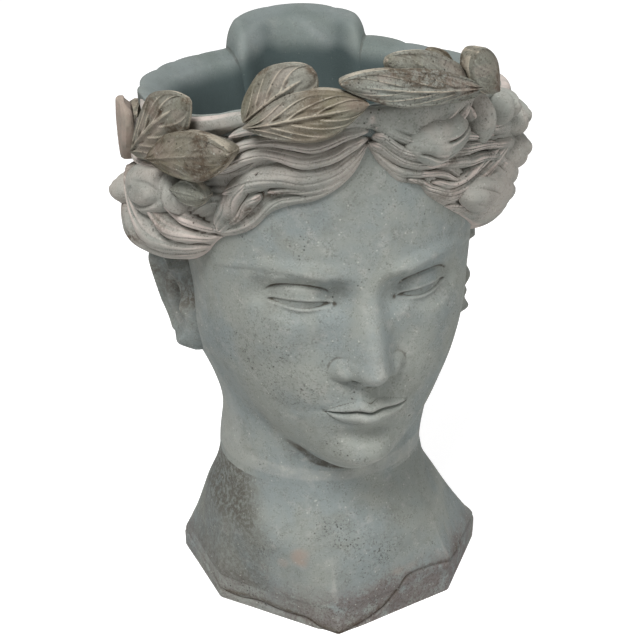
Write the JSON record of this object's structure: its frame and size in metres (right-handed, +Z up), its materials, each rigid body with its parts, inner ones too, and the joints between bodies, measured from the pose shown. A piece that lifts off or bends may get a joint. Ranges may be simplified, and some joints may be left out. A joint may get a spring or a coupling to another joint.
{
  "type": "bust planter",
  "caption": "Cement bust planter: a calm head with parted wavy hair and a leaf wreath, hollow from the crown down, on a short neck and a five-cornered chest.",
  "frame": {"origin": "middle of the flat resting face under the foot", "axes": "+Z up, the bust faces -Y, +X to the viewer's right"},
  "size_m": [0.1992, 0.2063, 0.2977],
  "materials": {
    "cement_face": "matt cast cement, grey green, pitted, with pale bloom and brown specks",
    "cement_hair": "matt cast cement, pinkish grey on the ridges and dark brown in the grooves",
    "cement_leaf": "matt cast cement, olive brown, rubbed pale on the veins and edges",
    "cement_inside": "matt cast cement, blue grey and fairly smooth",
    "cement_foot": "matt cast cement, worn and stained brown along the edge"
  },
  "bodies": {
    "root": {"foot_slab": "cement_foot", "chest": "cement_face", "neck": "cement_face", "head_front": "cement_face", "head_back": "cement_face", "pot_floor": "cement_inside", "back_lobe": "cement_inside", "hair_front_left": "cement_hair", "hair_front_right": "cement_hair", "hair_side_left": "cement_hair", "hair_side_right": "cement_hair", "hair_back_left": "cement_hair", "hair_back_right": "cement_hair", "hair_bun": "cement_hair", "ear_left": "cement_face", "ear_right": "cement_face", "leaf_1": "cement_leaf", "leaf_2": "cement_leaf", "leaf_3": "cement_leaf", "leaf_4": "cement_leaf", "leaf_5": "cement_leaf", "leaf_6": "cement_leaf", "leaf_7": "cement_leaf", "leaf_8": "cement_leaf", "leaf_9": "cement_leaf", "leaf_10": "cement_leaf", "leaf_back_1": "cement_leaf", "leaf_back_2": "cement_leaf", "leaf_back_3": "cement_leaf", "leaf_back_4": "cement_leaf", "leaf_back_5": "cement_leaf", "leaf_back_6": "cement_leaf", "bud_left_1": "cement_hair", "bud_left_2": "cement_hair", "bud_right_1": "cement_hair", "bud_right_2": "cement_hair", "bud_right_3": "cement_hair", "curl_right": "cement_hair", "lock_right": "cement_hair", "lock_left": "cement_hair", "stem_right": "cement_hair"}
  },
  "joints": []
}
